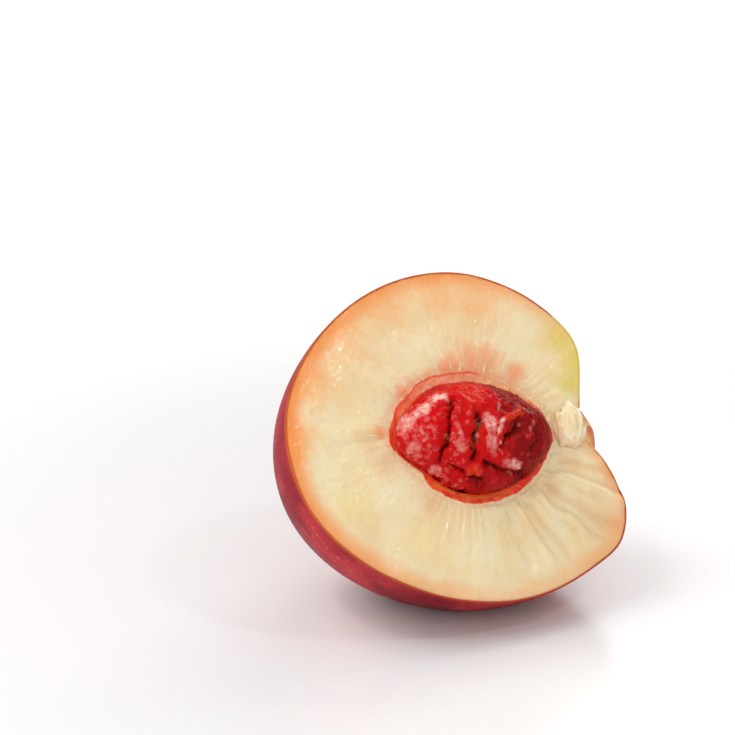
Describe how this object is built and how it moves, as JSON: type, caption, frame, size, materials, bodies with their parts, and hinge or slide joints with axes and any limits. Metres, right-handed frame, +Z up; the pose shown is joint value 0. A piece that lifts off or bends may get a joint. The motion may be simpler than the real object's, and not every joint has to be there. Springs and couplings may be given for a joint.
{
  "type": "nectarine half",
  "caption": "Half a nectarine, cut lengthwise with its furrowed stone in place, leaning back on a small flat spot, with torn strands between stone and stem hollow.",
  "frame": {"origin": "centre of the flat spot that the half rests on", "axes": "+Z up; the cut face leans back and looks towards -Y and a little to +X; the stem end is on the +X side"},
  "size_m": [0.0711, 0.0639, 0.0633],
  "materials": {
    "flesh": "wet cut flesh, cream to yellow, red round the stone",
    "skin": "smooth thin skin, deep red with yellow flames, soft gloss",
    "stone": "rough furrowed stone, stained red, wet"
  },
  "bodies": {
    "root": {"flesh_and_skin": "flesh", "stone": "stone"}
  },
  "joints": []
}
